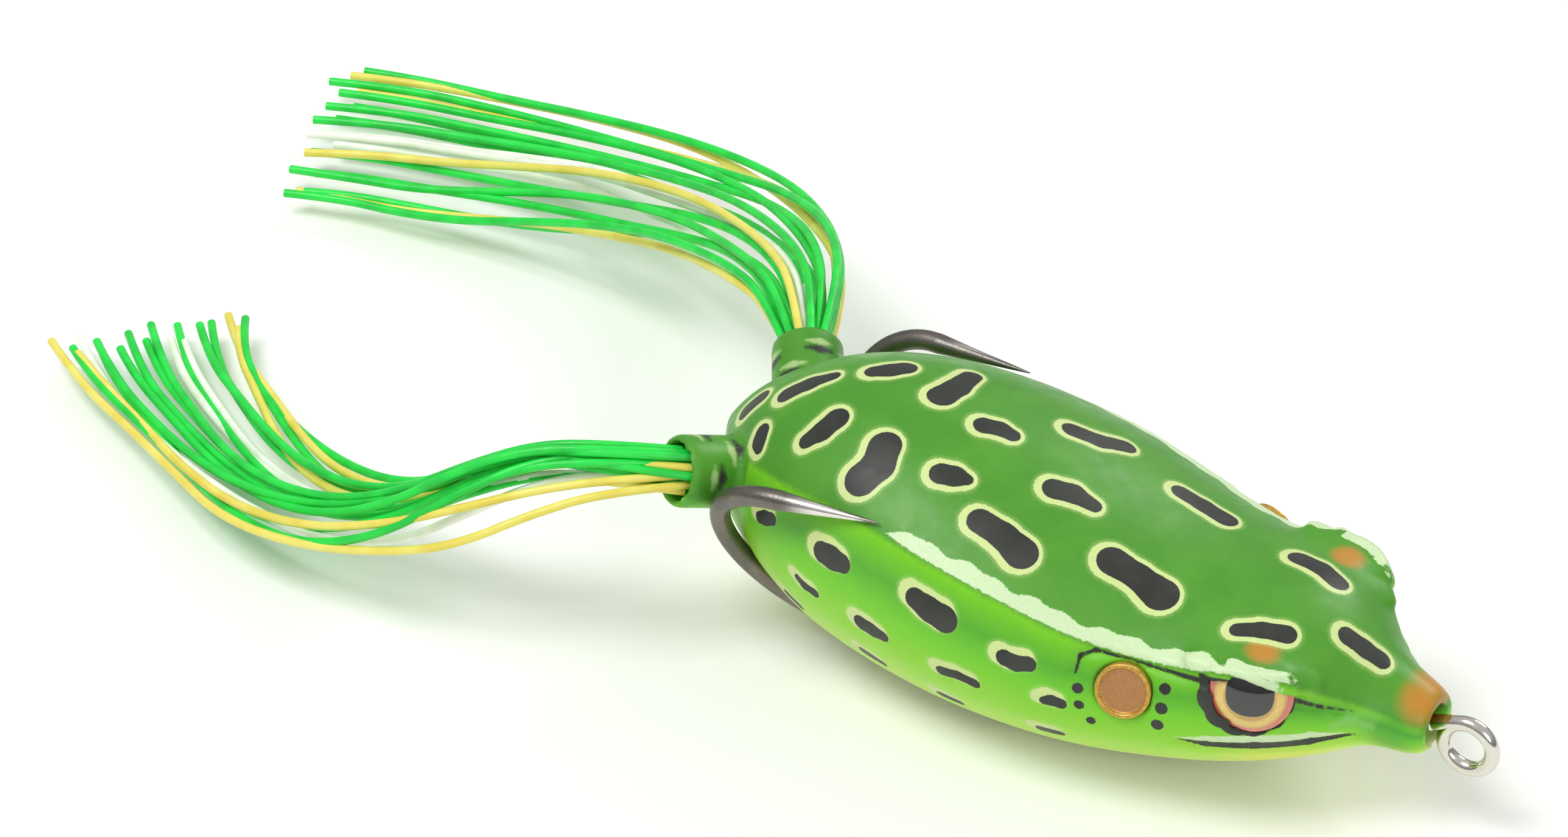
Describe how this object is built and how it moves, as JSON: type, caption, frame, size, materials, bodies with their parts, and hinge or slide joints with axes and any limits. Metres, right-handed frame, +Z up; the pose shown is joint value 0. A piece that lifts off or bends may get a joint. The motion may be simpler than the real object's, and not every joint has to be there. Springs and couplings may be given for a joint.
{
  "type": "topwater frog lure",
  "caption": "Hollow soft-skinned topwater frog lure with a double hook lying against its back, a belly weight, a nose line tie, domed eyes and stranded legs.",
  "frame": {"origin": "on the ground under the middle of the lure, leg strands left out", "axes": "+X towards the nose, +Y to the frog's left, +Z up"},
  "size_m": [0.1301, 0.0655, 0.0224],
  "materials": {
    "skin": "satin, airbrushed",
    "hook_steel": "black nickel plate",
    "weight_lead": "satin paint",
    "tie_nickel": "bright nickel plate",
    "eye_lens": "gloss, printed iris",
    "disc_bronze": "satin bronze",
    "band_rubber": "matt black",
    "strand_green": "satin silicone",
    "strand_yellow": "satin silicone",
    "strand_white": "satin silicone"
  },
  "bodies": {
    "frog": {"double_hook": "hook_steel", "keel_weight": "weight_lead", "left_eye": "eye_lens", "left_tympanum_disc": "disc_bronze", "left_leg_root": "strand_green", "left_leg_band": "band_rubber", "right_eye": "eye_lens", "right_tympanum_disc": "disc_bronze", "right_leg_root": "strand_green", "right_leg_band": "band_rubber"},
    "back": {"body_skin": "skin"},
    "left_leg": {"left_leg_strand_01": "strand_yellow", "left_leg_strand_02": "strand_green", "left_leg_strand_03": "strand_green", "left_leg_strand_04": "strand_yellow", "left_leg_strand_05": "strand_green", "left_leg_strand_06": "strand_green", "left_leg_strand_07": "strand_green", "left_leg_strand_08": "strand_green", "left_leg_strand_09": "strand_green", "left_leg_strand_10": "strand_white", "left_leg_strand_11": "strand_white", "left_leg_strand_12": "strand_white", "left_leg_strand_13": "strand_yellow", "left_leg_strand_14": "strand_green", "left_leg_strand_15": "strand_green", "left_leg_strand_16": "strand_green", "left_leg_strand_17": "strand_green", "left_leg_strand_18": "strand_yellow", "left_leg_strand_19": "strand_green"},
    "right_leg": {"right_leg_strand_01": "strand_green", "right_leg_strand_02": "strand_green", "right_leg_strand_03": "strand_yellow", "right_leg_strand_04": "strand_yellow", "right_leg_strand_05": "strand_green", "right_leg_strand_06": "strand_green", "right_leg_strand_07": "strand_white", "right_leg_strand_08": "strand_green", "right_leg_strand_09": "strand_white", "right_leg_strand_10": "strand_green", "right_leg_strand_11": "strand_green", "right_leg_strand_12": "strand_green", "right_leg_strand_13": "strand_green", "right_leg_strand_14": "strand_green", "right_leg_strand_15": "strand_green", "right_leg_strand_16": "strand_white", "right_leg_strand_17": "strand_yellow", "right_leg_strand_18": "strand_green", "right_leg_strand_19": "strand_yellow"},
    "tie": {"line_tie": "tie_nickel"}
  },
  "joints": [
    {"name": "back_press", "type": "slide", "parent": "frog", "child": "back", "axis": [0, 0, -1], "range_m": [0, 0.004], "stiffness_N_per_m": 400, "deforming": ["body_skin"]},
    {"name": "left_leg_swing", "type": "hinge", "parent": "frog", "child": "left_leg", "pos_m": [-0.0315, 0.0098, 0.015], "axis": [0, 0, -1], "range_deg": [-14, 20]},
    {"name": "right_leg_swing", "type": "hinge", "parent": "frog", "child": "right_leg", "pos_m": [-0.0315, -0.0098, 0.015], "axis": [0, 0, 1], "range_deg": [-6, 30]},
    {"name": "tie_tilt", "type": "hinge", "parent": "frog", "child": "tie", "pos_m": [0.02125, 0, 0.0096], "axis": [0, 1, 0], "range_deg": [-5, 5]}
  ]
}
